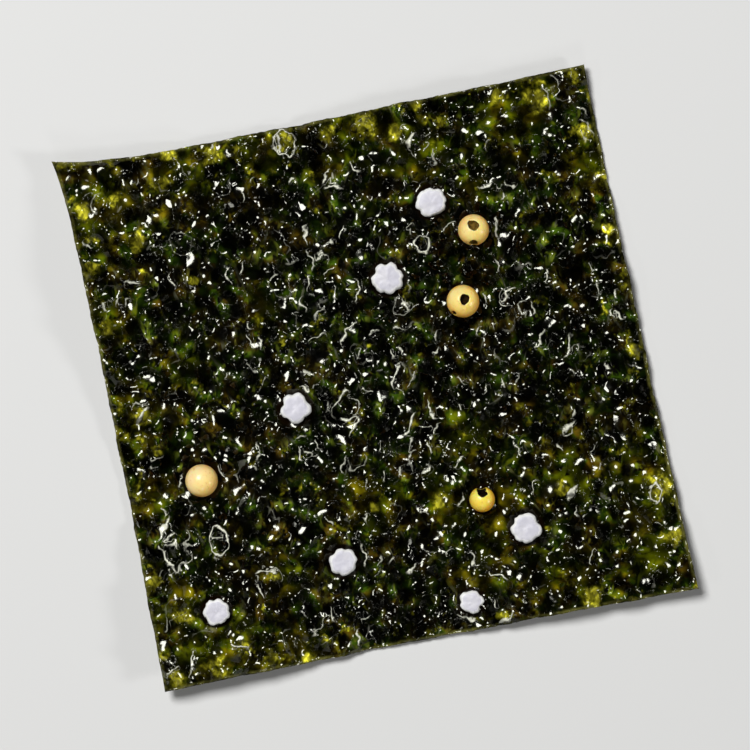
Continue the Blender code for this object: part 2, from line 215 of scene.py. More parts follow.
# Short folds of the skin that catch the light: x, y, length in mm, turn from +X, bow in mm, and the
# brightness of the highlight painted along them
FOLDS = (
    (-3.7, -2.0, 3.0, 41, 0.60, 1.0), (-3.6, -3.8, 2.4, -4, -0.25, 1.0), (-3.2, -4.9, 2.3, 50, 0.0, 1.0),
    (2.3, -0.8, 3.0, 68, 0.55, 1.0), (3.6, -1.2, 1.9, 55, -0.20, 0.8), (2.5, -5.8, 3.0, 56, -0.10, 1.3),
    (4.4, -6.5, 2.1, -14, 0.05, 0.8), (5.3, -4.7, 2.7, 100, 0.30, 0.9), (2.0, -8.0, 2.3, 59, 0.0, 0.9),
    (2.3, -9.0, 1.8, 28, 0.25, 0.7), (4.0, -8.6, 1.3, 105, 0.0, 0.9), (-5.2, 4.8, 2.3, 10, 0.40, 0.8),
    (-1.7, 4.7, 3.4, 45, 0.40, 0.8), (0.7, 4.4, 1.6, 20, 0.0, 0.8), (3.4, 4.1, 1.3, -5, 0.40, 0.8),
    (-1.1, 2.5, 1.2, 80, 0.0, 0.8), (2.2, 1.8, 1.3, 110, 0.0, 0.8), (3.1, 2.1, 1.2, 97, 0.0, 0.8),
    (-6.7, 1.5, 1.5, -22, 0.0, 0.7), (-7.5, 0.0, 1.3, -25, 0.0, 1.3), (-1.1, -1.4, 1.2, -35, 0.0, 1.1),
    (-9.3, -6.6, 1.8, 97, 0.0, 1.2), (-8.4, -6.6, 1.0, -25, 0.0, 1.2), (-8.9, -5.0, 1.6, 0, 0.25, 0.8),
    (-7.3, -6.0, 1.3, 115, 0.0, 0.9), (-4.8, -8.7, 2.1, 75, 0.45, 1.0), (-3.1, -11.0, 1.3, 93, 0.0, 0.8),
    (-12.4, 3.2, 1.8, 117, 0.0, 0.5), (-11.6, 1.6, 1.0, 60, 0.0, 0.7), (3.3, -10.8, 1.2, 40, 0.0, 1.1),
    (12.9, 5.7, 1.3, 90, 0.0, 0.9), (15.4, 5.5, 2.0, 38, 0.15, 1.1), (14.6, 4.7, 1.3, 120, 0.0, 1.1),
    (11.5, 2.5, 1.1, 62, 0.0, 0.8), (17.7, 0.3, 2.9, 50, 0.0, 0.8), (20.4, -1.0, 3.2, 62, -0.10, 0.9),
    (21.2, -1.3, 1.2, 85, 0.0, 0.8), (20.3, -3.5, 1.6, -40, 0.0, 0.5), (18.8, -9.0, 1.8, 26, -0.15, 1.9),
    (8.8, -2.4, 1.4, 115, 0.0, 0.8), (13.1, -0.6, 2.2, 90, 0.35, 0.4), (24.1, 6.6, 1.0, 105, 0.0, 0.8),
    (25.5, 1.5, 1.3, 90, 0.0, 0.9), (18.0, 8.3, 1.2, -30, 0.0, 0.6), (-4.1, 15.9, 2.6, 75, 0.20, 1.0),
    (-4.4, 13.2, 2.4, 95, -0.25, 1.0), (-4.9, 10.8, 2.0, 70, 0.20, 1.0), (-3.5, 12.9, 1.9, 60, 0.15, 0.9),
    (-2.7, 11.7, 1.8, 40, -0.15, 0.8), (-5.7, 8.8, 1.8, 100, 0.45, 1.0), (-2.3, 9.2, 1.6, 75, 0.10, 0.9),
    (-0.3, 9.2, 2.6, 80, -0.30, 1.0), (-0.4, 15.3, 1.8, 70, 0.20, 0.9), (-13.0, 13.3, 1.5, 60, 0.0, 0.9),
    (-12.3, 6.2, 1.3, 95, 0.0, 0.9), (-1.0, 21.3, 2.0, 50, 0.10, 0.9), (-0.4, 19.9, 2.2, -10, 0.20, 0.9),
    (8.4, 23.4, 2.1, 65, 0.10, 1.8), (15.5, 12.6, 2.4, 85, 0.15, 1.2), (4.7, 6.7, 1.6, 110, 0.25, 1.0),
    (7.3, 2.6, 1.6, 70, 0.20, 0.9), (6.9, -10.8, 1.9, 38, 0.15, 0.9), (-4.9, -18.3, 2.7, 88, -0.15, 1.1),
    (-16.0, -19.9, 1.8, 105, 0.15, 0.9), (-15.2, -18.1, 2.6, -12, 0.10, 0.9),
    (-24.3, -12.6, 1.6, 35, 0.10, 1.1), (-24.7, -11.6, 3.5, 54, 0.10, 1.3),
    (-24.9, -14.7, 3.8, 113, 0.10, 1.2), (-23.8, -13.2, 1.2, 80, -0.10, 1.2),
    (-24.2, -13.5, 1.8, 10, 0.30, 1.1), (-19.5, -13.6, 1.6, 0, 0.10, 1.1), (-24.6, 0.4, 2.4, 50, 0.20, 1.3),
    (14.1, -14.6, 1.9, 60, 0.0, 0.9), (17.8, -16.0, 2.2, 38, 0.0, 1.5), (17.9, -18.2, 1.4, 115, 0.0, 0.9),
    (8.6, -22.9, 2.3, -38, -0.20, 1.2), (8.4, -27.4, 2.0, 35, -0.35, 1.5), (4.5, -26.7, 2.4, -32, 0.0, 1.1),
    (6.2, -14.4, 2.0, 75, -0.30, 1.0), (-22.3, -6.9, 1.6, 75, -0.20, 1.0),
    (-17.7, -6.7, 1.4, 110, 0.20, 1.0), (-19.2, -25.2, 2.4, -25, 0.1, 1.1),
    (26.1, -17.6, 2.2, 70, 0.1, 1.2), (-4.9, 25.6, 2.4, 80, 0.3, 1.2),
)
ALL_FOLDS = 190  # with those, the others drawn
FOLD_FIELD = (-27, 27)  # mm, in x and in y
FOLD_LENGTHS = (0.8, 2.0)  # mm
FOLD_TURNS = (75, 34)  # mean and spread in degrees
FOLD_BOWS = (-0.3, 0.3)  # mm
FOLD_HIGHLIGHT_STRENGTHS = (0.3, 1.0)
FOLD_SEED = 67
# How far the film lies lower under a seed or crystal, and how far out from it that and the painted shadow
# round it reach
HOLLOW = 0.06 * MM
HOLLOW_WIDTH = 0.38 * MM
# Rounded bubbles of the skin, finer than the mesh: their spacing, how strongly they curve, per metre, and
# how much they scatter
DOME = 1.80 * MM
DOME_BEND = 1350.0
DOME_SCATTER = 0.85
# Thin places where the film shows yellow-green, partly its paler colour and partly painted light shining
# through it: x, y and radius in mm
THIN_PLACES = (
    (-27.4, 28.2, 1.6), (-26.7, 22.7, 1.5), (-23.1, 23.2, 1.4), (-18.2, 23.9, 1.5), (-16.8, 26.8, 1.2),
    (-12.2, 25.9, 1.5), (-4.6, 25.6, 1.7), (0.0, 26.0, 1.2), (3.9, 25.8, 1.8), (6.8, 24.4, 1.3),
    (9.6, 26.7, 1.0), (18.2, 26.2, 1.4), (22.3, 25.0, 2.0), (26.4, 26.6, 1.1), (26.7, 20.6, 1.5),
    (27.2, 10.2, 0.9), (27.1, 4.4, 1.1), (27.3, -2.4, 1.3), (26.9, -17.2, 2.0), (27.4, -22.6, 1.3),
    (17.8, -27.0, 1.4), (8.4, -27.6, 1.0), (-26.6, -27.0, 1.6), (-22.4, -26.4, 1.7), (-19.0, -25.3, 1.3),
    (-16.4, -27.2, 1.2), (-12.5, -27.7, 1.0), (-27.2, -16.9, 1.1), (-24.6, -20.6, 1.5), (-24.8, 0.4, 1.6),
    (-25.2, -1.7, 0.9), (-26.6, 10.0, 1.4), (-27.0, 16.2, 1.3), (-21.6, 18.4, 1.4), (-23.9, -3.4, 1.0),
    (4.3, -14.2, 1.3), (17.0, -15.4, 1.2), (-14.4, -18.6, 0.9), (-3.0, -13.6, 0.9), (-16.6, 13.3, 0.8),
)
THIN_REACH = 1.25  # radii at which a thin place ends
# Broad areas where the film is thinner and more olive: x, y and radius in mm
OLIVE_AREAS = (
    (-25.0, 22.0, 5.0), (-16.0, 24.5, 4.5), (-7.0, 25.0, 4.5), (2.0, 25.5, 4.5), (9.0, 22.5, 5.0),
    (20.0, 24.0, 5.0), (26.5, 17.0, 3.0), (-26.5, 11.0, 3.5), (-26.0, 1.0, 4.0), (-20.0, 5.0, 3.0),
    (-25.0, -8.0, 2.5), (-24.5, -19.0, 4.0), (-22.0, -24.5, 6.0), (-14.0, -26.0, 4.0), (-13.5, -18.5, 3.0),
    (-2.5, -13.0, 4.0), (5.0, -14.0, 4.0), (11.0, -16.0, 5.0), (17.5, -14.5, 4.0), (25.5, -17.0, 5.0),
    (24.5, -24.0, 4.0), (16.0, -25.0, 4.5), (7.5, -21.5, 4.0), (8.5, -8.0, 3.0), (14.0, 18.0, 3.0),
    (-10.0, 9.0, 2.5),
)

# Colours, as linear red, green and blue. The film's, from its dark ground to its thin places, partly
# painted light shining through, and its lines of painted highlight
BLACK = (0.0007, 0.0006, 0.0004, 1)
DARK = (0.0036, 0.0080, 0.0005, 1)
UMBER = (0.0080, 0.0052, 0.0006, 1)
GREEN = (0.0150, 0.0310, 0.0012, 1)
BROWN = (0.036, 0.023, 0.0016, 1)
MOSS = (0.052, 0.068, 0.0060, 1)
OLIVE = (0.044, 0.041, 0.0060, 1)
PAINTED_GREY_SHEEN = (0.036, 0.037, 0.024, 1)
LUSH_GREEN = (0.046, 0.056, 0.0015, 1)
LUSH_OLIVE = (0.080, 0.068, 0.0022, 1)
OLIVE_TINT = (1.15, 1.10, 0.30, 1)
LEAF = (0.120, 0.116, 0.004, 1)
YELLOW = (0.43, 0.40, 0.024, 1)
DARK_YELLOW = (0.022, 0.026, 0.0012, 1)
CUT_EDGE_AND_HIGHLIGHT = (0.120, 0.115, 0.026, 1)
PAINTED_CREST_HIGHLIGHT = (0.78, 0.78, 0.64, 1)
PAINTED_CONTACT_SHADOW = (0.004, 0.0018, 0.0004, 1)
OILY_TINT = (1.0, 1.0, 0.88, 1)  # of its gloss
# The seeds' at tone 0, 0.5 and 1: crowns painted paler as lit from above and flanks painted deeper orange
# as shaded, and how they change with painted light to the side of the key lamp and painted shade away from
# it
LIT_CROWNS = ((0.98, 0.73, 0.34, 1), (0.97, 0.71, 0.21, 1), (0.95, 0.73, 0.11, 1))
SHADED_FLANKS = ((0.98, 0.60, 0.20, 1), (0.98, 0.52, 0.09, 1), (0.92, 0.49, 0.03, 1))
KEY_SIDE_PAINTED_LIGHT = (0.83, 0.95, 1.20, 1)
FAR_SIDE_PAINTED_SHADE = (1.0, 0.93, 0.72, 1)
DIMPLE = (0.60, 0.24, 0.04, 1)
BLACK_PIT = (0.004, 0.0015, 0.0005, 1)
OLIVE_PIT = (0.16, 0.095, 0.016, 1)
# The salt's
FROST = (0.57, 0.56, 0.62, 1)
BRIGHT_FROST = (0.70, 0.69, 0.70, 1)
PAINTED_RIM_LIGHT = (0.84, 0.84, 0.82, 1)

FLOOR_COLOUR = (0.64, 0.64, 0.63)
FLOOR_REACH = 4.0
# The camera looks straight down. The photograph shows the sheet turned by this angle.
SHEET_TURN = math.radians(11.17)
CAMERA_HEIGHT = 0.60
VIEW_WIDTH = 0.0785
SENSOR = 36.0
# Lamps: the way to each in the picture, right and up, its elevation in degrees, size in metres and watts
LAMPS = {
    "key": (-1, 1, 60, 0.32, 7.3),
    "right": (1, -0.3, 26, 0.16, 1.8),
    "near": (0.1, -1, 30, 0.16, 0.5),
    "left": (-1, -0.4, 40, 0.12, 0.2),
}
LAMP_DISTANCE = 0.8
SKY_LIGHT = 0.006


def smooth_step(share):
    share = np.clip(share, 0.0, 1.0)
    return share * share * (3.0 - 2.0 * share)


def waves(x, y, lengths, seed, count=WAVE_COUNT):
    """A sum of sine waves of these lengths in all directions, mostly between -2 and 2."""
    draw = random.Random(seed)
    total = np.zeros_like(x)
    for _ in range(count):
        direction = draw.uniform(0.0, math.tau)
        length = draw.uniform(*lengths)
        phase = draw.uniform(0.0, math.tau)
        along = x * math.cos(direction) + y * math.sin(direction)
        total += np.sin(along / length * math.tau + phase)
    return total / math.sqrt(count / 2)


def notch(along, phase):
    """How far the cut edge lies inside its straight line, at a share along the side."""
    wander = sum(np.sin(along * math.tau * n + phase * n) for n in EDGE_WAVES) / len(EDGE_WAVES)
    fray = sum(np.sin(along * math.tau * n + phase * n) for n in FRAY_WAVES) / len(FRAY_WAVES)
    return (EDGE_NOTCH * (0.5 + 0.5 * wander) + FRAY * (1 + fray)) * np.sin(along * math.pi) ** 0.5


def plan(u, v):
    x, y = (
        (1 - v) * ((1 - u) * CORNERS["left_bottom"][i] + u * CORNERS["right_bottom"][i])
        + v * ((1 - u) * CORNERS["left_top"][i] + u * CORNERS["right_top"][i])
        + FLARE[i] * ((1 - u) * v) ** FLARE_POWER
        for i in (0, 1)
    )
    x = x + notch(v, SIDE_PHASES["left"]) * (1 - smooth_step(u / EDGE_FADE))
    x = x - notch(v, SIDE_PHASES["right"]) * (1 - smooth_step((1 - u) / EDGE_FADE))
    y = y + notch(u, SIDE_PHASES["bottom"]) * (1 - smooth_step(v / EDGE_FADE))
    y = y - notch(u, SIDE_PHASES["top"]) * (1 - smooth_step((1 - v) / EDGE_FADE))
    return x, y


def curl(u, v):
    return (
        CORNER_LIFT["left_top"] * ((1 - u) * v) ** CURL_POWER
        + CORNER_LIFT["right_top"] * (u * v) ** CURL_POWER
        + CORNER_LIFT["right_bottom"] * (u * (1 - v)) ** CURL_POWER
        + CORNER_LIFT["left_bottom"] * ((1 - u) * (1 - v)) ** CURL_POWER
    )


def shown_blister(x, y, length, width, turn, rim=SHOWN_RIM):
    return {
        "x": x * MM,
        "y": y * MM,
        "radius": length / 2 * MM,
        "height": width * SHOWN_HEIGHT * MM,
        "width": width / length,
        "angle": math.radians(turn),
        "rim": rim,
    }


def all_blisters():
    draw = random.Random(BLISTER_SEED)
    toppings = [(*item["at"], item["across"] / 2) for item in SEEDS + SALTS]
    found = [shown_blister(*row) for row in SHOWN_BLISTERS]
    for _ in range(BLISTER_TRIES):
        x, y = (float(value) for value in plan(draw.random(), draw.random()))
        item = {
            "x": x,
            "y": y,
            "radius": draw.uniform(*BLISTER_RADII),
            "height": draw.uniform(*BLISTER_HEIGHTS),
            "width": draw.uniform(*BLISTER_WIDTHS),
            "angle": draw.uniform(0.0, math.pi),
            "rim": DRAWN_RIM,
        }
        clear_of_toppings = all(math.hypot(x - a, y - b) > item["radius"] + r for a, b, r in toppings)
        clear_of_blisters = all(
            math.hypot(x - other["x"], y - other["y"]) > BLISTER_GAP * (item["radius"] + other["radius"])
            for other in found
        )
        if clear_of_toppings and clear_of_blisters:
            found.append(item)
        if len(found) == BLISTERS:
            break
    return found


def blister_distance(x, y, blister):
    """0 at the blister's middle, 1 at its foot."""
    along_x, along_y = math.cos(blister["angle"]), math.sin(blister["angle"])
    dx, dy = x - blister["x"], y - blister["y"]
    length = (dx * along_x + dy * along_y) / blister["radius"]
    width = (dy * along_x - dx * along_y) / (blister["radius"] * blister["width"])
    return np.sqrt(length**2 + width**2)


def window(out):
    """1 beside a line, and 0 where it is too far off to matter."""
    return smooth_step(2 - np.abs(out) / LINE_REACH)


def rims(x, y, wobbles, blisters):
    """How far up a blister's rim each point is, how far off the rim's line, and how strong the highlight
    painted along that line is.
    """
    rise, strength = np.zeros_like(x), np.zeros_like(x)
    out = np.full_like(x, 2 * LINE_REACH)
    parts = smooth_step(0.10 + 0.9 * waves(x, y, RIM_PARTS, RIM_SEED + 2))
    for item in blisters:
        whole = smooth_step(WHOLE_RIM_PACE * (item["rim"] - WHOLE_RIM))
        moved = [axis + (1 - RIM_STEADY * whole) * wobble for axis, wobble in zip((x, y), wobbles)]
        from_line = blister_distance(*moved, item) - (RIM_AT - RIM_INWARDS * whole)
        across = from_line * item["radius"] * (1 + item["width"]) / 2
        here = item["rim"] * np.maximum(parts, whole)
        rise = np.maximum(rise, np.minimum(here, 1) * np.exp(-((across / RIM_WIDTH) ** 2)))
        stronger = window(across) * here > strength
        strength = np.where(stronger, window(across) * here, strength)
        out = np.where(stronger, across, out)
    return rise, out, strength


def all_folds():
    draw = random.Random(FOLD_SEED)
    found = list(FOLDS)
    while len(found) < ALL_FOLDS:
        row = (draw.uniform(*FOLD_FIELD), draw.uniform(*FOLD_FIELD), draw.uniform(*FOLD_LENGTHS))
        row += (draw.gauss(*FOLD_TURNS), draw.uniform(*FOLD_BOWS), draw.uniform(*FOLD_HIGHLIGHT_STRENGTHS))
        found.append(row)
    return found


def folds(x, y):
    """How far up a fold each point is, how far off the fold's line, and how strong the highlight painted
    along that line is.
    """
    rise, strength = np.zeros_like(x), np.zeros_like(x)
    out = np.full_like(x, 2 * LINE_REACH)
    for row_x, row_y, length, turn, bow, highlight_strength in all_folds():
        along_x, along_y = math.cos(math.radians(turn)), math.sin(math.radians(turn))
        dx, dy = x - row_x * MM, y - row_y * MM
        along = (dx * along_x + dy * along_y) / (length / 2 * MM)
        across = dy * along_x - dx * along_y - bow * MM * (1 - along**2)
        ends = smooth_step(3 * (1 - np.abs(along)))
        rise = np.maximum(rise, np.exp(-((across / FOLD_WIDTH) ** 2)) * ends)
        here = ends * highlight_strength
        stronger = window(across) * here > strength
        strength = np.where(stronger, window(across) * here, strength)
        out = np.where(stronger, across, out)
    return rise, out, strength


def beside_toppings(x, y):
    """1 under a seed or crystal, and fading away round it, for the hollow and the painted shadow there."""
    near = np.zeros_like(x)
    for item in SEEDS + SALTS:
        out = np.hypot(x - item["at"][0], y - item["at"][1]) - item["across"] / 2
        near = np.maximum(near, np.exp(-((np.maximum(out, 0) / HOLLOW_WIDTH) ** 2)))
    return near


def spots(x, y, places, strength):
    """The strength of the strongest spot at each point, from the distance to its middle in radii."""
    found = np.zeros_like(x)
    for place_x, place_y, radius in places:
        far = np.hypot(x - place_x * MM, y - place_y * MM) / (radius * MM)
        found = np.maximum(found, strength(far))
    return found


def form(u, v):
    """The film's points over a grid, on its lower face and on its upper one, and their masks."""
    x, y = plan(u, v)
    blisters = all_blisters()
    shape = SWELL * waves(x, y, SWELL_LENGTHS, SWELL_SEED) + curl(u, v)
    shape += WRINKLE * waves(x, y, WRINKLE_LENGTHS, WRINKLE_SEED)
    for item in blisters:
        shape += item["height"] * smooth_step(1 - blister_distance(x, y, item) ** 2)
    low = np.maximum(shape - TOUCH, 0.0)

    wobbles = [RIM_WOBBLE * waves(x, y, RIM_WOBBLE_LENGTHS, RIM_SEED + n) for n in range(2)]
    rim, rim_out, rim_strength = rims(x, y, wobbles, blisters)
    fold, fold_out, fold_strength = folds(x + wobbles[0] / 2, y + wobbles[1] / 2)
    of_fold = fold_strength > RIM_PAINT * rim_strength
    calm = smooth_step(0.5 + 0.6 * waves(x, y, CALM_LENGTHS, CALM_SEED))
    lively, quiet = PEBBLE_RANGE
    pebble = waves(x, y / PEBBLE_STRETCH, PEBBLE_LENGTHS, PEBBLE_SEED, PEBBLE_WAVES)
    pebble *= lively + (quiet - lively) * calm
    veined = smooth_step(0.5 + waves(x, y, VEIN_PATCHES, VEIN_SEED + 1))
    vein = np.exp(-((waves(x, y, VEIN_LENGTHS, VEIN_SEED) / VEIN_WIDTH) ** 2)) * veined
    skin = PEBBLE * pebble + VEIN * vein + np.maximum(RIM * rim, FOLD * fold)
    near = beside_toppings(x, y)
    high = low + THICKNESS + skin * (1 - near) - HOLLOW * near
    masks = {
        "edge_mm": np.minimum(np.minimum(u, 1 - u), np.minimum(v, 1 - v)) * SIDE_IN_MM,
        "near": near,
        "thin": spots(x, y, THIN_PLACES, lambda far: np.clip(THIN_REACH - far, 0.0, 1.0)),
        "olive": spots(x, y, OLIVE_AREAS, lambda far: np.exp(-(far**2))),
        "pebble": pebble,
        "line_mm": np.where(of_fold, fold_out, rim_out) / MM,
        "line": np.where(of_fold, fold_strength, RIM_PAINT * rim_strength),
    }
    return np.column_stack((x, y, low)), np.column_stack((x, y, high)), masks


def grid_shares(cells):
    """How far along the square's two sides each point of a grid is."""
    v, u = (grid.ravel() for grid in np.meshgrid(*[np.linspace(0, 1, cells + 1)] * 2, indexing="ij"))
    return u, v


def grid_quads(cells):
    row = cells + 1
    j, i = (grid.ravel() for grid in np.meshgrid(range(cells), range(cells), indexing="ij"))
    a = j * row + i
    return np.column_stack((a, a + 1, a + row + 1, a + row))


def grid_rim(cells):
    """The numbers of the grid's outer points, once round and back to the first."""
    row = cells + 1
    line = np.arange(cells)
    last = cells * row
    sides = (line, line * row + cells, last + cells - line, (cells - line) * row)
    return np.concatenate((*sides, [0]))


def add_mask(mesh, name, values):
    """Keeps a value for each point of the mesh, for its material to read."""
    mesh.attributes.new(name, "FLOAT", "POINT").data.foreach_set("value", values)


def film():
    """The film as one closed mesh: a fine upper face, a coarser lower one and the cut edge."""
    low_cells = TOP_CELLS // COARSER
    _, high, masks = form(*grid_shares(TOP_CELLS))
    low, _, low_masks = form(*grid_shares(low_cells))
    first_low = len(high)
    points = np.vstack((high, low))
    high_rim, low_rim = grid_rim(TOP_CELLS), grid_rim(low_cells) + first_low
    faces = grid_quads(TOP_CELLS).tolist()
    faces += (grid_quads(low_cells)[:, ::-1] + first_low).tolist()
    for step in range(len(low_rim) - 1):
        above = high_rim[step * COARSER : (step + 1) * COARSER + 1].tolist()
        faces.append([int(low_rim[step]), int(low_rim[step + 1]), *reversed(above)])
    mesh = bpy.data.meshes.new("seaweed_film")
    mesh.from_pydata(points.tolist(), [], faces)
    mesh.shade_smooth()
    for name, values in masks.items():
        add_mask(mesh, name, np.concatenate((values, low_masks[name])).astype(np.float32))
    piece = bpy.data.objects.new("seaweed_film", mesh)
    bpy.context.scene.collection.objects.link(piece)
    return piece


class Nodes:
    """A short way to write a material's nodes. Values are sockets or plain numbers and colours."""

    def __init__(self, name):
        self.material = bpy.data.materials.new(name)
        self.material.use_nodes = True
        self.tree = self.material.node_tree
        self.shader = self.tree.nodes["Principled BSDF"]

    def add(self, kind, **values):
        node = self.tree.nodes.new("ShaderNode" + kind)
        for key, value in values.items():
            setattr(node, key, value)
        return node

    def put(self, value, socket):
        if isinstance(value, bpy.types.NodeSocket):
            self.tree.links.new(value, socket)
        else:
            socket.default_value = value

    def shade(self, name, value):
        self.put(value, self.shader.inputs[name])

    def place(self, offset, stretch, turn):
        """The place on the object, for a texture moved by offset mm, stretched and turned in degrees."""
        at = self.add("TexCoord").outputs["Object"]
        node = self.add("Mapping", vector_type="TEXTURE")
        self.put(at, node.inputs["Vector"])
        node.inputs["Location"].default_value = (offset * MM, offset * 1.7 * MM, offset * 0.6 * MM)
        node.inputs["Rotation"].default_value = (0, 0, math.radians(turn))
        node.inputs["Scale"].default_value = (stretch, 1, 1)
        return node.outputs["Vector"]

    def noise(self, size, detail=2.0, roughness=0.5, distortion=0.0, offset=0.0, stretch=1.0, turn=0.0):
        """Clouds of this size, from 0 to 1 and mostly near 0.5. Each offset gives other ones."""
        node = self.add("TexNoise")
        self.put(self.place(offset, stretch, turn), node.inputs["Vector"])
        values = {"Scale": 1 / size, "Detail": detail, "Roughness": roughness, "Distortion": distortion}
        for key, value in values.items():
            node.inputs[key].default_value = value
        return node.outputs["Fac"]

    def domes(self, size, offset, scatter):
        """The distance from the middle of the nearest of a flat scatter of spots, 0 to about 0.7."""
        node = self.add("TexVoronoi", voronoi_dimensions="2D", feature="F1")
        self.put(self.place(offset, 1.0, 0.0), node.inputs["Vector"])
        node.inputs["Scale"].default_value = 1 / size
        node.inputs["Randomness"].default_value = scatter
        return node.outputs["Distance"]

    def ramp(self, value, low, high, to_low=0.0, to_high=1.0):
        """A smooth step from to_low, where the value is low, to to_high, where it is high."""
        node = self.add("MapRange", interpolation_type="SMOOTHSTEP")
        self.put(value, node.inputs["Value"])
        values = {"From Min": low, "From Max": high, "To Min": to_low, "To Max": to_high}
        for key, number in values.items():
            node.inputs[key].default_value = number
        return node.outputs["Result"]

    def math(self, operation, *values):
        node = self.add("Math", operation=operation)
        for value, socket in zip(values, node.inputs):
            self.put(value, socket)
        return node.outputs["Value"]

    def mix(self, share, first, second, way="MIX"):
        node = self.add("Mix", data_type="RGBA", blend_type=way)
        for value, socket in zip((share, first, second), (node.inputs[0], node.inputs[6], node.inputs[7])):
            self.put(value, socket)
        return node.outputs[2]

    def tint(self, share, colour, by):
        """The colour, multiplied by another one where the share is 1."""
        return self.mix(share, colour, self.mix(1.0, colour, by, "MULTIPLY"))

    def attribute(self, name):
        return self.add("Attribute", attribute_name=name).outputs["Fac"]

    def bump(self, height, distance):
        node = self.add("Bump")
        node.inputs["Distance"].default_value = distance
        self.put(height, node.inputs["Height"])
        self.shade("Normal", node.outputs["Normal"])


def ground_colour(n):
    """The film's colour: patches, blades and thin strands of green, olive and grey over black, the grey
    strands being painted sheen.
    """
    olive = n.attribute("olive")
    warm = n.ramp(n.noise(3.0 * MM, 3, 0.6, offset=15.0), 0.47, 0.58)
    mottle = n.noise(2.0 * MM, 3, 0.55, distortion=0.8, offset=3.1)
    colour = n.mix(n.ramp(mottle, 0.42, 0.54), BLACK, n.mix(warm, DARK, UMBER))
    patch = n.noise(1.6 * MM, 3, 0.55, distortion=0.8, offset=9.4)
    colour = n.mix(n.ramp(patch, 0.50, 0.62), colour, n.mix(warm, GREEN, BROWN))
    for turn, offset in ((62, 90.0), (98, 100.0)):
        blade = n.noise(0.85 * MM, 2, 0.5, distortion=0.6, offset=offset, stretch=2.2, turn=turn)
        colour = n.mix(n.ramp(blade, 0.58, 0.70), colour, n.mix(warm, MOSS, OLIVE))
    # Thin grey strands: painted sheen on fine wrinkles
    for turn, offset in ((118, 40.0), (65, 50.0), (100, 60.0)):
        strand = n.noise(0.5 * MM, 1, 0.4, offset=offset, stretch=10, turn=turn)
        colour = n.mix(n.ramp(strand, 0.68, 0.76, 0, 0.8), colour, PAINTED_GREY_SHEEN)
    lush = n.noise(1.8 * MM, 3, 0.6, distortion=0.6, offset=140.0)
    lush = n.ramp(n.math("MULTIPLY_ADD", olive, 0.24, lush), 0.60, 0.78, 0, 0.9)
    colour = n.mix(lush, colour, n.mix(warm, LUSH_GREEN, LUSH_OLIVE))
    return n.tint(olive, colour, OLIVE_TINT)


def thin_places(n):
    """How thin the film is at the marked places, and how far it shows yellow there and along the edge,
    partly painted light shining through.
    """
    ragged = n.math("SUBTRACT", n.noise(1.2 * MM, 3, 0.6, offset=21.0), 0.5)
    thin = n.math("MULTIPLY_ADD", ragged, 1.5, n.attribute("thin"))
    by_edge = n.ramp(n.attribute("edge_mm"), 5.0, 0.0, 0, 0.11)
    by_edge = n.math("ADD", by_edge, n.noise(2.6 * MM, 3, 0.6, offset=25.0))
    by_edge = n.ramp(n.math("ADD", by_edge, ragged), 0.66, 0.84)
    return thin, n.math("MAXIMUM", n.ramp(thin, 0.30, 0.80), by_edge)


def thin_colour(n, thin):
    """Leaf green, yellow where the film is thinnest and dark in between, all in short ridges; partly the
    thin film's colour and partly painted light shining through it.
    """
    pale = n.noise(1.2 * MM, 3, 0.55, distortion=0.8, offset=28.0)
    pale = n.math("MULTIPLY_ADD", n.ramp(thin, 0.55, 1.05), 0.18, pale)
    colour = n.mix(n.ramp(pale, 0.50, 0.66), LEAF, YELLOW)
    colour = n.mix(n.ramp(pale, 0.49, 0.38), colour, DARK_YELLOW)
    for turn, offset in ((60, 200.0), (115, 210.0)):
        ridged = n.noise(0.6 * MM, 2, 0.5, distortion=0.8, offset=offset, stretch=2.5, turn=turn)
        colour = n.mix(1.0, colour, n.ramp(ridged, 0.38, 0.60, 0.45, 1.30), "MULTIPLY")
    return colour


def painted_hollow_shade_and_patches(n, apart, yellow):
    """Painted shade, darker between the pebbles and between the bubbles, in patches, and less so in pale
    places.
    """
    # Painted shade in the pebbles' hollows and in the creases between the bubbles
    hollow_shade = n.ramp(n.attribute("pebble"), -0.9, 1.1, 0.15, 1.90)
    hollow_shade = n.math("MULTIPLY", hollow_shade, n.ramp(apart, 0.15, 0.6, 1.25, 0.40))
    patches = n.ramp(n.noise(3.2 * MM, 3, 0.55, offset=130.0), 0.40, 0.60, 0.16, 1.50)
    shade = n.math("MULTIPLY", hollow_shade, patches)
    shade = n.mix(n.math("MULTIPLY", yellow, 0.35), shade, (1.0, 1.0, 1.0, 1))
    return n.mix(n.math("MULTIPLY", n.attribute("olive"), 0.12), shade, (0.75, 0.75, 0.75, 1))


def painted_crest_highlights(n):
    """Painted highlights along the rims and folds, as lines that wander, swell and fade, wider where they
    are stronger.
    """
    strength = n.attribute("line")
    wobble = n.math("MULTIPLY_ADD", n.noise(0.8 * MM, 2, 0.5, offset=71.0), 0.8, -0.4)
    beside = n.math("ABSOLUTE", n.math("ADD", n.attribute("line_mm"), wobble))
    width_mm = n.ramp(n.noise(1.0 * MM, 2, 0.5, offset=75.0), 0.35, 0.62, 0.08, 0.16)
    width_mm = n.math("MULTIPLY", width_mm, n.ramp(strength, 0.9, 2.1, 1.0, 3.2))
    line = n.ramp(n.math("DIVIDE", beside, width_mm), 1.0, 0.2)
    return n.math("MULTIPLY", line, n.ramp(strength, 0.1, 1.0))


def bubble_height(n, apart):
    """How far the skin falls away from the bubbles' tops, more steeply in some places than in others."""
    lively = n.noise(7.0 * MM, 2, 0.5, offset=180.0)
    swollen = n.math("MULTIPLY_ADD", lively, 0.6, n.noise(2.4 * MM, 2, 0.5, offset=170.0))
    swollen = n.ramp(swollen, 0.69, 0.95, 0.35, 1.25)
    return n.math("MULTIPLY", n.math("MULTIPLY", apart, apart), n.math("MULTIPLY", swollen, -1.0))


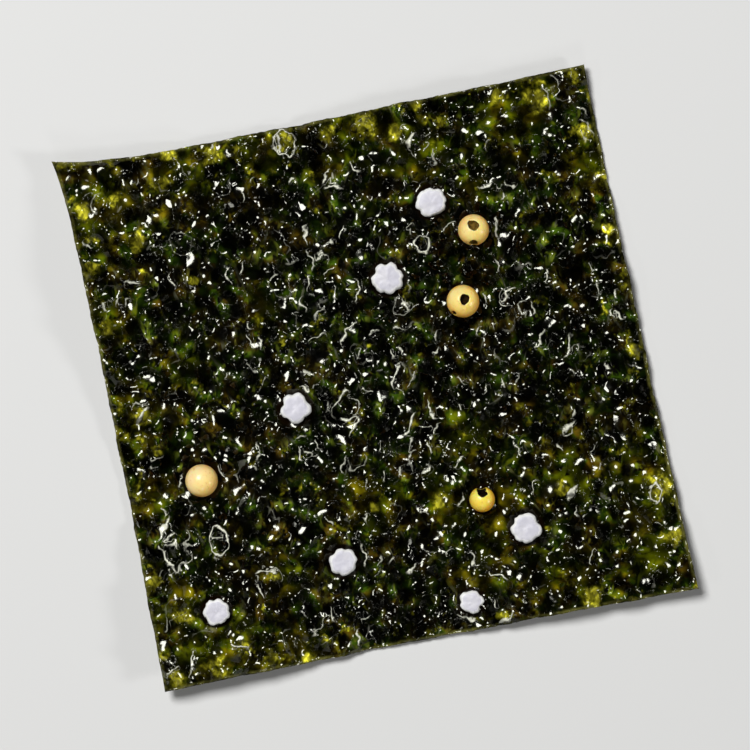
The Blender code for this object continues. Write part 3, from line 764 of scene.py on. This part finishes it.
def film_material():
    n = Nodes("seaweed")
    apart = n.domes(DOME, 33.0, DOME_SCATTER)
    thin, yellow = thin_places(n)
    # Yellow-green at the thin places and the edge: partly the film's colour, partly painted light shining
    # through
    colour = n.mix(yellow, ground_colour(n), thin_colour(n, thin))
    # Painted shade in the hollows, over patches of darker and lighter film
    colour = n.mix(1.0, colour, painted_hollow_shade_and_patches(n, apart, yellow), "MULTIPLY")
    # A paler line along the cut edge: partly its own colour, partly a painted highlight where it catches
    # the light
    cut_edge_and_highlight = n.ramp(n.noise(1.3 * MM, 3, 0.6, offset=31.0), 0.38, 0.62, 0.15, 0.9)
    cut_edge_and_highlight = n.math("MULTIPLY", n.ramp(n.attribute("edge_mm"), 0.45, 0.12), cut_edge_and_highlight)
    colour = n.mix(cut_edge_and_highlight, colour, CUT_EDGE_AND_HIGHLIGHT)
    # Painted highlights along the crests of the rims and folds; the same lines also raise the bump
    line = painted_crest_highlights(n)
    colour = n.mix(line, colour, PAINTED_CREST_HIGHLIGHT)
    # Painted shadow on the film round the seeds and crystals
    colour = n.mix(n.ramp(n.attribute("near"), 0.15, 0.8), colour, PAINTED_CONTACT_SHADOW)
    n.shade("Base Color", colour)
    n.shade("Roughness", 0.13)
    n.shade("IOR", 1.5)
    n.shade("Specular Tint", OILY_TINT)
    height = n.math("MULTIPLY_ADD", line, 0.08, bubble_height(n, apart))
    height = n.math("MULTIPLY_ADD", n.noise(0.5 * MM, 2, 0.5, offset=5.0), 0.010, height)
    n.bump(height, DOME_BEND * DOME**2 / 2)
    return n.material


def seed_material():
    n = Nodes("seed")
    tone, side = n.attribute("tone"), n.attribute("side")
    crown, flank = (
        n.mix(n.ramp(tone, 0.5, 1.0), n.mix(n.ramp(tone, 0.0, 0.5), pink, golden), greenish)
        for pink, golden, greenish in (LIT_CROWNS, SHADED_FLANKS)
    )
    uneven = n.math("SUBTRACT", n.noise(1.4 * MM, 3, 0.55, offset=2.0), 0.5)
    up = n.math("ADD", n.attribute("up"), n.math("MULTIPLY", uneven, 1.5))
    # Painted shade: paler on the crown and deeper orange down the flanks
    colour = n.mix(n.ramp(up, 0.10, 0.95), flank, crown)
    # Painted light on the key lamp's side and painted shade away from it
    colour = n.tint(n.ramp(side, 0.1, -0.8), colour, KEY_SIDE_PAINTED_LIGHT)
    colour = n.tint(n.ramp(side, 0.0, 0.7), colour, FAR_SIDE_PAINTED_SHADE)
    dimple = n.ramp(n.noise(0.35 * MM, 2, 0.5, offset=12.0), 0.60, 0.72, 0, 0.35)
    n.shade("Base Color", n.mix(dimple, colour, DIMPLE))
    n.shade("Roughness", 0.32)
    n.shade("Subsurface Weight", 0.7)
    n.shade("Subsurface Radius", (1.0, 0.5, 0.2))
    n.shade("Subsurface Scale", 1.2 * MM)
    n.bump(n.noise(0.5 * MM, 2, 0.5, offset=7.0), 0.03 * MM)
    return n.material


def pit_material():
    n = Nodes("seed_pit")
    hole = n.mix(n.attribute("pit_tone"), BLACK_PIT, OLIVE_PIT)
    mottle = n.ramp(n.noise(0.3 * MM, 2, 0.5, offset=17.0), 0.35, 0.65, 0.5, 1.3)
    n.shade("Base Color", n.mix(1.0, hole, mottle, "MULTIPLY"))
    n.shade("Roughness", 0.9)
    n.shade("Specular IOR Level", 0.05)
    return n.material


def salt_material():
    n = Nodes("salt")
    # Painted light: a bright rim along the crystal's outline
    colour = n.mix(n.ramp(n.attribute("rim"), 0.55, 0.95), FROST, PAINTED_RIM_LIGHT)
    patch = n.ramp(n.noise(1.2 * MM, 2, 0.5, offset=4.0), 0.4, 0.7, 0, 0.5)
    n.shade("Base Color", n.mix(patch, colour, BRIGHT_FROST))
    n.shade("Roughness", 0.5)
    n.shade("Subsurface Weight", 0.3)
    n.shade("Subsurface Radius", (1.0, 1.0, 1.0))
    n.shade("Subsurface Scale", 0.5 * MM)
    n.bump(n.noise(0.5 * MM, 3, 0.6, offset=6.0), 0.04 * MM)
    return n.material


def floor_material():
    n = Nodes("floor")
    n.shade("Base Color", (*FLOOR_COLOUR, 1))
    n.shade("Roughness", 0.8)
    return n.material


def stacked_mesh(rings, first, last, masks):
    """A closed body of rings of points between a first and a last point.

    Each mask has a value for every ring, and then one for the first point and one for the last.
    """
    sides = len(rings[0])
    points = [point for ring in rings for point in ring]
    bottom, top = len(points), len(points) + 1
    points += [first, last]
    faces = []
    for side in range(sides):
        other = (side + 1) % sides
        faces.append((bottom, other, side))
        for level in range(len(rings) - 1):
            a, b = level * sides + side, level * sides + other
            faces.append((a, b, b + sides, a + sides))
        end = (len(rings) - 1) * sides
        faces.append((end + side, end + other, top))
    mesh = bpy.data.meshes.new("stack")
    mesh.from_pydata([tuple(point) for point in points], [], faces)
    for name, values in masks.items():
        add_mask(mesh, name, [value for value in values[:-2] for _ in range(sides)] + list(values[-2:]))
    return mesh


def joined(name, parts):
    body = bmesh.new()
    for part in parts:
        body.from_mesh(part)
    mesh = bpy.data.meshes.new(name)
    body.to_mesh(mesh)
    mesh.shade_smooth()
    piece = bpy.data.objects.new(name, mesh)
    bpy.context.scene.collection.objects.link(piece)
    return piece


def sink_chips(mesh, centre, seed):
    """Sinks the seed's surface at each chip, and returns the numbers of the points that went down."""
    radius = seed["across"] / 2
    sunk = set()
    for chip_x, chip_y, size in seed["chips"]:
        chip = centre + Vector((chip_x, chip_y, CHIP_HEIGHT * radius))
        for vertex in mesh.vertices:
            away = vertex.co - chip
            share = 1 - Vector((away.x, away.y, CHIP_UPRIGHT * away.z)).length / size
            if share > 0:
                sunk.add(vertex.index)
                vertex.co += (centre - vertex.co).normalized() * size * math.sqrt(share)
    return sunk


def seed_mesh(seed, seat):
    """A round seed that sinks its lowest point half the film's thickness, pitted on one side."""
    radius = seed["across"] / 2
    lean, towards = math.radians(seed["lean"]), math.radians(seed["towards"])
    tilt = Matrix.Rotation(towards, 3, "Z") @ Matrix.Rotation(lean, 3, "Y")
    centre = Vector((*seed["at"], seat(*seed["at"]) + radius))
    rim = math.asin(seed["pit"] / seed["across"] or CAP)
    pitted = 1.0 if seed["pit"] else 0.0

    def ring(out, up, uneven=0.0):
        points = []
        for side in range(SEED_SIDES):
            turn = side / SEED_SIDES * math.tau
            lobes = sum(math.cos(k * turn + k * seed["lean"]) / k for k in (2, 3, 5))
            reach = out * (1 + uneven * PIT_UNEVEN * lobes)
            points.append(centre + tilt @ Vector((reach * math.cos(turn), reach * math.sin(turn), up)))
        return points

    rings = []
    for level in range(SEED_RINGS):
        angle = math.pi - (math.pi - rim) / SEED_RINGS * (level + 1)
        uneven = pitted if angle < rim * PIT_LIP else 0.0
        rings.append(ring(radius * math.sin(angle), radius * math.cos(angle), uneven))
    inner_shares = [level / PIT_RINGS for level in range(1, PIT_RINGS)]
    if pitted:
        wide, high = radius * math.sin(rim), radius * math.cos(rim)
        for share in inner_shares:
            down = PIT_DEPTH * radius * math.sin(share * math.pi / 2) ** PIT_STEEPNESS
            rings.append(ring(wide * (1 - share) ** PIT_ROUNDNESS, high - down, 1 - share))
        top = high - PIT_DEPTH * radius
    else:
        for share in inner_shares:
            angle = rim * (1 - share)
            rings.append(ring(radius * math.sin(angle), radius * math.cos(angle)))
        top = radius
    ends = (centre + tilt @ Vector((0, 0, -radius)), centre + tilt @ Vector((0, 0, top)))
    pit = [0.0] * SEED_RINGS + [pitted] * len(inner_shares) + [0.0, pitted]
    masks = {"pit": pit, "tone": [seed["tone"]] * len(pit), "pit_tone": [seed["pit_tone"]] * len(pit)}
    mesh = stacked_mesh(rings, *ends, masks)
    add_mask(mesh, "up", [(vertex.co.z - centre.z) / radius for vertex in mesh.vertices])
    # How far each point lies away from the key lamp, for the painted light and shade
    away_from_key = image_direction(1, -1)
    add_mask(mesh, "side", [(vertex.co - centre).dot(away_from_key) / radius for vertex in mesh.vertices])
    in_pit = {point for point, item in enumerate(mesh.attributes["pit"].data) if item.value > 0.5}
    dark = in_pit | sink_chips(mesh, centre, seed)
    for face in mesh.polygons:
        face.material_index = int(dark.issuperset(face.vertices))
    return mesh


def lobed_rim(lobes):
    """Directions round a crystal's rim and the rim's radius there, about 1 at the tip of each lobe."""
    draw = random.Random(lobes[1])
    reach = [draw.uniform(*LOBE_REACHES) for _ in lobes]
    depth = [LOBE_DEPTH * draw.uniform(*LOBE_VARIETY) for _ in lobes]
    rim = []
    for n, (lobe, following) in enumerate(zip(lobes, (*lobes[1:], lobes[0] + 360))):
        for step in range(SIDES_PER_LOBE):
            share = step / SIDES_PER_LOBE
            fall = depth[n] * (following - lobe) / 60 * math.sin(share * math.pi) ** LOBE_SHARPNESS
            tips = reach[n] + (reach[(n + 1) % len(lobes)] - reach[n]) * smooth_step(share)
            turn = math.radians(lobe + (following - lobe) * share)
            fray = sum(math.sin(k * turn + depth[i] * 90) for i, k in enumerate(SALT_FRAY_WAVES))
            rim.append((turn, float(tips) - fall + SALT_FRAY * fray))
    return rim


def grain(point, place):
    """How far the roughness lifts the surface at a point of the crystal that lies at this place."""
    moved = Vector((*place, 0)) / MM
    return sum(SALT_ROUGH / k * noise.noise(point * k / SALT_GRAIN + moved) for k in SALT_GRAIN_STEPS)


def salt_mesh(salt, seat):
    """A lobed crystal that stands half the film's thickness deep and doesn't come out below."""
    radius = salt["across"] / 2
    height = salt["across"] * SALT_HEIGHT
    ground = Vector((*salt["at"], seat(*salt["at"])))

    def ring(width, rise):
        points = []
        for turn, lobed in lobed_rim(salt["lobes"]):
            out = radius * width * (1 + (lobed - 1) * min(1, width * LOBES_INWARDS))
            point = Vector((out * math.cos(turn), out * math.sin(turn), height * rise))
            outward = Vector((point.x, point.y, SALT_UPWARDS * (point.z - height / 2))).normalized()
            point += outward * grain(point, salt["at"]) + ground
            point.z = max(point.z, seat(point.x, point.y))
            points.append(point)
        return points

    rings = [ring(width, rise) for width, rise, _ in SALT_SECTION]
    rims = [rim for _, _, rim in SALT_SECTION] + [1, 0]
    return stacked_mesh(rings, ground, ground + Vector((0, 0, height)), {"rim": rims})


def floor():
    mesh = bpy.data.meshes.new("floor")
    corners = [(x * FLOOR_REACH, y * FLOOR_REACH, 0) for x, y in ((-1, -1), (1, -1), (1, 1), (-1, 1))]
    mesh.from_pydata(corners, [], [(0, 1, 2, 3)])
    piece = bpy.data.objects.new("floor", mesh)
    bpy.context.scene.collection.objects.link(piece)
    mesh.materials.append(floor_material())


def image_direction(right, up):
    """A level direction in the world that lies this far to the right and up in the picture."""
    across = Vector((math.cos(SHEET_TURN), -math.sin(SHEET_TURN), 0))
    upwards = Vector((math.sin(SHEET_TURN), math.cos(SHEET_TURN), 0))
    return (across * right + upwards * up).normalized()


def lamp(name, right, up, elevation, size, power):
    light = bpy.data.lights.new(name, "AREA")
    light.shape = "DISK"
    light.size = size
    light.energy = power
    item = bpy.data.objects.new(name, light)
    steepness = math.radians(elevation)
    away = image_direction(right, up) * math.cos(steepness) + Vector((0, 0, math.sin(steepness)))
    item.location = away * LAMP_DISTANCE
    item.rotation_euler = away.to_track_quat("Z", "Y").to_euler()
    bpy.context.scene.collection.objects.link(item)


def light_and_camera():
    scene = bpy.context.scene
    world = bpy.data.worlds.new("studio")
    scene.world = world
    world.use_nodes = True
    sky = world.node_tree.nodes["Background"].inputs
    sky["Color"].default_value = (1, 1, 1, 1)
    sky["Strength"].default_value = SKY_LIGHT
    for name, row in LAMPS.items():
        lamp(name, *row)
    data = bpy.data.cameras.new("camera")
    data.sensor_width = SENSOR
    data.lens = SENSOR * CAMERA_HEIGHT / VIEW_WIDTH
    data.clip_start = 0.01
    camera = bpy.data.objects.new("camera", data)
    camera.location = (0, 0, CAMERA_HEIGHT)
    camera.rotation_euler = (0, 0, -SHEET_TURN)
    scene.collection.objects.link(camera)
    scene.camera = camera
    scene.view_settings.view_transform = "Standard"


def main():
    sheet = film()
    sheet.data.materials.append(film_material())
    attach(sheet, "root")
    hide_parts("seaweed_sheet")
    body = bmesh.new()
    body.from_mesh(sheet.data)
    surface = BVHTree.FromBMesh(body)

    def seat(x, y):
        """Height of the middle of the film's thickness."""
        return surface.ray_cast(Vector((x, y, 0.1)), Vector((0, 0, -1)))[0].z + HOLLOW - THICKNESS / 2

    seeds = joined("golden_seeds", [seed_mesh(seed, seat) for seed in SEEDS])
    salts = joined("salt_crystals", [salt_mesh(salt, seat) for salt in SALTS])
    seeds.data.materials.append(seed_material())
    seeds.data.materials.append(pit_material())
    salts.data.materials.append(salt_material())
    for piece, slot in ((seeds, "seed"), (salts, "salt")):
        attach(piece, "root")
    floor()
    light_and_camera()


main()
